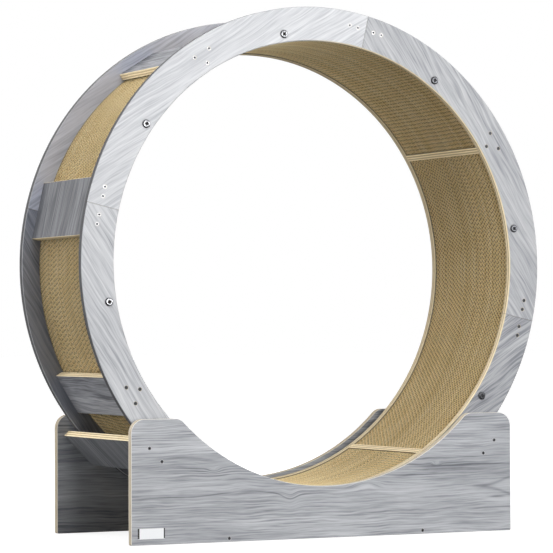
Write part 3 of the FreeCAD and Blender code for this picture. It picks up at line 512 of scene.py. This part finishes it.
# the front panel carries the figure of the decor that shows most
put("base_panel_front",
    laminate("panel_laminate_front", 211.0, Vector((0.0, -0.1985, 0.0)), X, Z, -Y, 0.015, 0.72,
             light=(236, 238, 242), dark=(122, 125, 132), contrast=0.86, lines=165.0, swirl=0.62, fine=1.25, layers=5, pale=0.62,
             ply_tone_and_shade=0.86, arris_highlight=0.9, weights=(0.30, 0.24, 0.22, 0.40, 0.28),
             marks=((-0.267, 0.150, 0.016, 0.0065, 0.0062), (-0.212, 0.134, 0.045, 0.020, -0.005),
                    (-0.088, 0.084, 0.017, 0.022, 0.0065), (0.098, 0.112, 0.036, 0.011, -0.0095),
                    (0.268, 0.150, 0.010, 0.005, 0.008)),
             stripes=((0.096, 0.0015, -0.46, 0.03, 0.50, 0.006, (-0.190, 0.075, 0.008), (-0.090, 0.022, -0.011)),
                      (0.046, 0.0014, -0.30, 0.30, 0.26, 0.012), (0.118, 0.0012, -0.40, -0.20, 0.28, 0.010),
                      (0.135, 0.034, 0.22, 0.56, 0.17, 0.02), (0.036, 0.026, -0.24, 0.14, -0.16, 0.01),
                      (0.098, 0.0032, 0.350, 0.60, 0.32, 0.005, (0.475, 0.055, 0.022)),
                      (0.098, 0.0032, 0.350, 0.60, 0.36, 0.005, (0.475, 0.055, -0.021)),
                      (0.098, 0.0060, 0.350, 0.43, 0.25, 0.004), (0.1465, 0.0016, 0.20, 0.60, 0.45, 0.004),
                      (0.0755, 0.0018, 0.385, 0.455, 1.2, 0.002), (0.052, 0.0013, 0.34, 0.60, 0.35, 0.003))))
put("base_panel_back",
    laminate("panel_laminate_back", 223.0, Vector((0.0, 0.1985, 0.0)), X, Z, Y, 0.015, 0.70,
             light=(236, 238, 242), dark=(122, 125, 132), lines=165.0, swirl=0.75, fine=1.2, layers=5, pale=0.45, ply_tone_and_shade=0.66, arris_highlight=0.35))
for side, angle in (("left", 225.0), ("right", 315.0)):
    out, tangent = direction(angle), direction(angle + 90.0)
    put(f"cross_plank_{side}",
        laminate(f"base_plank_{side}", 241.0 + angle * 0.01, HUB + out * 0.5635, tangent, Y, out, 0.015, 0.36,
                 light=(226, 228, 233), dark=(118, 121, 128), lines=120.0, layers=5, pale=0.0, ply_tone_and_shade=1.25))
put("bottom_board",
    laminate("base_plank_bottom", 263.0, Vector((0.0, 0.0, 0.0075)), X, Y, Z, 0.015, 0.60,
             light=(226, 228, 233), dark=(118, 121, 128), lines=120.0, layers=5, pale=0.1))

# ------------------------------------------------------------------ metal and nylon

# shy: painted shade on the bolts and ring screws to the right and low down
bolts = fastener("bolt_chrome", linear(170, 171, 174), 0.18, 0.30, 0.1738, "pad", bore=(0.0024, 0.0046), rim=0.0067, shade_zone=(0.24, 0.10, 0.90))
ring_screws = fastener("ring_screw_steel", linear(188, 188, 190), 0.30, 0.46, 0.1706, "ring", bore=(0.0018, 0.0024), shade_zone=(0.33, 0.40, 0.93))
panel_screws = fastener("panel_screw_steel", linear(120, 121, 125), 0.26, 0.40, 0.2055, "panel", bore=(0.0016, 0.0032))
bracket_screws = metal("bracket_screw_steel", linear(190, 192, 196), 0.24, 0.40, 1100.0)
rod = metal("rod_steel", linear(182, 184, 188), 0.28, 0.42, 600.0, brushed=(1.0, 0.1, 1.0))
zinc = metal("bracket_zinc", linear(196, 199, 203), 0.34, 0.52, 240.0, dent=0.00006, spread=0.16)
race = metal("bearing_steel", linear(206, 208, 212), 0.14, 0.26, 800.0)
black_nylon = nylon("roller_nylon")
for name in nodes:
    if name.startswith("pad_bolts"):
        put(name, bolts)
    elif name.startswith("ring_screws"):
        put(name, ring_screws)
    elif name.startswith("panel_screws"):
        put(name, panel_screws)
    elif name.startswith("bracket_screws"):
        put(name, bracket_screws)
    elif name.startswith(("tie_rods", "roller_axles")):
        put(name, rod)
    elif name.startswith(("roller_bracket", "axle_nuts")):
        put(name, zinc)
    elif name.startswith("roller_bearing"):
        put(name, race)
    elif name.startswith("roller_"):
        put(name, black_nylon)
put("name_plate", plate("plate_metal", *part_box("name_plate")))

# ------------------------------------------------------------------ scratch pads
# Corrugated board on edge: strips side by side across the wheel, each a flat paper and a waved one,
# bent along the arc, so that both cut edges of every strip make the pad's running and outer faces.

PAD_IN, PAD_OUT = 480.0, 510.0
PAD_HALF_Y = 155.7
PAD_HALF_ANGLE = math.radians(44.03)
STRIP = 6.3              # across the wheel
FLUTE = 9.8              # along the arc, at the middle of the thickness
PAPER = 0.5
STEPS = 5                # points to a flute


def ribbon(points, normals, half, r_in, r_out, tone, verts, faces, tones, waves, wave):
    """A closed paper band. points: (angle, y) along the band; normals: unit (arc, y) sideways there."""
    first = len(verts)
    r_mid = (PAD_IN + PAD_OUT) / 2
    for (a, y), (na, ny) in zip(points, normals):
        for side in (-1.0, 1.0):
            aa = a + side * half * na / r_mid
            yy = y + side * half * ny
            for r in (r_in, r_out):
                verts.append((r * math.cos(aa), yy, r * math.sin(aa)))
                tones.append(tone)
                waves.append(wave)
    for i in range(len(points) - 1):
        p, q = first + 4 * i, first + 4 * (i + 1)
        # corners of a section: 0 side- in, 1 side- out, 2 side+ in, 3 side+ out
        for a, b in ((0, 1), (1, 3), (3, 2), (2, 0)):
            faces.append((p + a, p + b, q + b, q + a))
    p, q = first, first + 4 * (len(points) - 1)
    faces.append((p, p + 2, p + 3, p + 1))
    faces.append((q, q + 1, q + 3, q + 2))


def scratch_pad(k, drift, turn_at, drift_after, seed):
    """drift: how far each strip's flutes are ahead of the last one's, in flutes."""
    chance = random.Random(seed)
    middle = math.radians(SEAM + 90.0 * (k - 1))
    r_mid = (PAD_IN + PAD_OUT) / 2
    arc = 2 * PAD_HALF_ANGLE * r_mid
    count = int(round(2 * PAD_HALF_Y / STRIP))
    pitch = (2 * PAD_HALF_Y - PAPER) / count
    verts, faces, tones, waves = [], [], [], []
    phase = chance.random()
    half = PAPER / 2
    for i in range(count + 1):
        # the flat paper
        y = -PAD_HALF_Y + half + i * pitch
        n = 44
        line = [(middle - PAD_HALF_ANGLE + 2 * PAD_HALF_ANGLE * j / n, y) for j in range(n + 1)]
        low = chance.uniform(0.0, 0.35)
        ribbon(line, [(0.0, 1.0)] * (n + 1), half, PAD_IN + low, PAD_OUT - chance.uniform(0.0, 0.3),
               chance.uniform(0.35, 1.0), verts, faces, tones, waves, 0.0)
        if i == count:
            break
        # the waved paper
        phase += (drift if i < turn_at else drift_after) + chance.uniform(-0.09, 0.09)
        swing = pitch / 2 - PAPER
        centre = y + pitch / 2
        flutes = arc / FLUTE * (1 + chance.uniform(-0.003, 0.003))
        steps = int(round(flutes * STEPS))
        points, normals = [], []
        for j in range(steps + 1):
            s = j / steps
            t = 2 * math.pi * (flutes * s + phase)
            points.append((middle - PAD_HALF_ANGLE + 2 * PAD_HALF_ANGLE * s, centre + swing * math.sin(t)))
            slope = swing * math.cos(t) * 2 * math.pi * flutes / arc
            length = math.hypot(1.0, slope)
            normals.append((-slope / length, 1.0 / length))
        ends = PAD_HALF_ANGLE - half / r_mid
        points[0] = (middle - ends, points[0][1])
        points[-1] = (middle + ends, points[-1][1])
        normals[0] = normals[-1] = (0.0, 1.0)
        low = chance.uniform(0.05, 0.6)
        ribbon(points, normals, half * 0.9, PAD_IN + low, PAD_OUT - chance.uniform(0.05, 0.5),
               chance.uniform(0.0, 0.75), verts, faces, tones, waves, 1.0)
    co = np.array(verts, float) * MM
    co[:, 2] += AXIS_Z
    mesh = bpy.data.meshes.new(f"corrugated_pad_{k}")
    mesh.from_pydata(co.tolist(), [], faces)
    mesh.update()
    for what, values in (("strip", tones), ("waved", waves)):
        attribute = mesh.attributes.new(what, "FLOAT", "POINT")
        attribute.data.foreach_set("value", np.array(values, np.float32))
    piece = bpy.data.objects.new(f"corrugated_pad_{k}", mesh)
    scene.collection.objects.link(piece)
    mesh.materials.append(board)
    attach(piece, "wheel")
    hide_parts(f"scratch_pad_{k}")
    return piece


board = cardboard("scratch_board")
for k, drift, turn_at, after, seed in ((1, 0.0, 99, 0.0, 11), (2, -0.28, 99, -0.28, 12), (3, 0.0, 28, 0.10, 13), (4, 0.42, 25, -0.42, 14)):
    scratch_pad(k, drift, turn_at, after, seed)

# ------------------------------------------------------------------ camera

yaw, pitch, roll = math.radians(26.9234), math.radians(1.1548), math.radians(-0.2167)
forward = Vector((math.sin(yaw) * math.cos(pitch), math.cos(yaw) * math.cos(pitch), math.sin(pitch)))
right = Vector((math.cos(yaw), -math.sin(yaw), 0.0))
up = right.cross(forward)
c, s = math.cos(roll), math.sin(roll)
right, up = right * c + up * s, up * c - right * s
camera_data = bpy.data.cameras.new("camera")
camera_data.sensor_width = 36.0
camera_data.lens = 2746.0 / 553.0 * 36.0
camera_data.clip_start, camera_data.clip_end = 0.1, 100.0
camera = bpy.data.objects.new("camera", camera_data)
camera.matrix_world = Matrix(((right.x, up.x, -forward.x, -2.73625), (right.y, up.y, -forward.y, -5.35833),
                              (right.z, up.z, -forward.z, 0.43698), (0.0, 0.0, 0.0, 1.0)))
scene.collection.objects.link(camera)
scene.camera = camera

# ------------------------------------------------------------------ floor, background and light

floor_mesh = bpy.data.meshes.new("floor")
R = 40.0
floor_mesh.from_pydata([(-R, -R, 0), (R, -R, 0), (R, R, 0), (-R, R, 0)], [], [(0, 1, 2, 3)])
floor = bpy.data.objects.new("floor", floor_mesh)
floor.location = (0.0, 0.0, -0.0004)
scene.collection.objects.link(floor)
g = Graph("floor")
# white paper sweep: a faint shadow near the object, plain white further away
place = g.node("ShaderNodeTexCoord").outputs["Object"]
away = g.span(g.vector("LENGTH", place), 0.9, 2.6, smooth=True)
diffuse = g.node("ShaderNodeBsdfDiffuse")
diffuse.inputs["Color"].default_value = (0.42, 0.42, 0.42, 1.0)
glow = g.node("ShaderNodeEmission")
g.feed(glow.inputs["Color"], (1.0, 1.0, 1.0))
g.feed(glow.inputs["Strength"], g.mixf(away, 0.80, 1.0))
both = g.node("ShaderNodeAddShader")
g.feed(both.inputs[0], diffuse.outputs[0])
g.feed(both.inputs[1], glow.outputs[0])
dim = g.node("ShaderNodeBsdfDiffuse")
dim.inputs["Color"].default_value = (0.25, 0.25, 0.25, 1.0)
ray = g.node("ShaderNodeLightPath")
pick = g.node("ShaderNodeMixShader")
g.feed(pick.inputs[0], ray.outputs["Is Camera Ray"])
g.feed(pick.inputs[1], dim.outputs[0])
g.feed(pick.inputs[2], both.outputs[0])
g.feed(g.output.inputs["Surface"], pick.outputs[0])
floor_mesh.materials.append(g.material)

world = bpy.data.worlds.new("studio")
scene.world = world
world.use_nodes = True
wt = world.node_tree
wt.nodes.clear()
out_node = wt.nodes.new("ShaderNodeOutputWorld")
path = wt.nodes.new("ShaderNodeLightPath")
seen = wt.nodes.new("ShaderNodeBackground")
seen.inputs["Color"].default_value = (1.0, 1.0, 1.0, 1.0)
seen.inputs["Strength"].default_value = 1.0
fill = wt.nodes.new("ShaderNodeBackground")
fill.inputs["Color"].default_value = (0.97, 0.98, 1.0, 1.0)
fill.inputs["Strength"].default_value = FILL
# what shiny metal mirrors: bright above, dim at eye height
sky = wt.nodes.new("ShaderNodeTexCoord")
parts = wt.nodes.new("ShaderNodeSeparateXYZ")
wt.links.new(sky.outputs["Generated"], parts.inputs[0])
rise = wt.nodes.new("ShaderNodeMapRange")
rise.interpolation_type = "SMOOTHSTEP"
for socket, value in zip(rise.inputs[1:5], (-0.05, 0.55, 0.40, 1.15)):
    socket.default_value = value
wt.links.new(parts.outputs[2], rise.inputs[0])
mirrored = wt.nodes.new("ShaderNodeBackground")
wt.links.new(rise.outputs[0], mirrored.inputs["Strength"])
shiny = wt.nodes.new("ShaderNodeMixShader")
wt.links.new(path.outputs["Is Glossy Ray"], shiny.inputs[0])
wt.links.new(seen.outputs[0], shiny.inputs[1])
wt.links.new(mirrored.outputs[0], shiny.inputs[2])
choose = wt.nodes.new("ShaderNodeMixShader")
wt.links.new(path.outputs["Is Diffuse Ray"], choose.inputs[0])
wt.links.new(shiny.outputs[0], choose.inputs[1])
wt.links.new(fill.outputs[0], choose.inputs[2])
wt.links.new(choose.outputs[0], out_node.inputs["Surface"])


def area(name, at, target, size, power, colour=(1.0, 1.0, 1.0)):
    data = bpy.data.lights.new(name, "AREA")
    data.shape = "RECTANGLE"
    data.size, data.size_y = size
    data.energy = power
    data.color = colour
    lamp = bpy.data.objects.new(name, data)
    lamp.location = at
    lamp.rotation_mode = "QUATERNION"
    lamp.rotation_quaternion = (Vector(target) - Vector(at)).to_track_quat("-Z", "Y")
    scene.collection.objects.link(lamp)
    return lamp


CENTRE = (0.0, 0.0, 0.6)
area("front", (0.0, -4.0, 0.9), CENTRE, (2.0, 2.0), 84.0)
area("right_front", (2.6, -3.0, 1.3), CENTRE, (1.6, 1.6), 59.0)
area("left_back", (-3.0, 2.5, 1.5), CENTRE, (1.6, 1.6), 58.0)
area("left", (-4.0, 0.0, 1.0), CENTRE, (2.0, 2.0), 58.0)
area("top_back", (0.5, 2.5, 2.8), CENTRE, (1.6, 1.6), 37.0)
area("top_left", (-2.4, -0.2, 2.8), CENTRE, (1.4, 1.4), 18.0)
area("top", (0.0, 0.0, 3.4), CENTRE, (2.0, 2.0), 18.0)
area("near", (-0.6, -1.4, 2.5), (0.0, -0.1, 0.7), (1.4, 0.8), 20.0)

scene.view_settings.view_transform = "Standard"
scene.view_settings.look = "None"
scene.view_settings.exposure = 0.0
scene.view_settings.gamma = 1.0
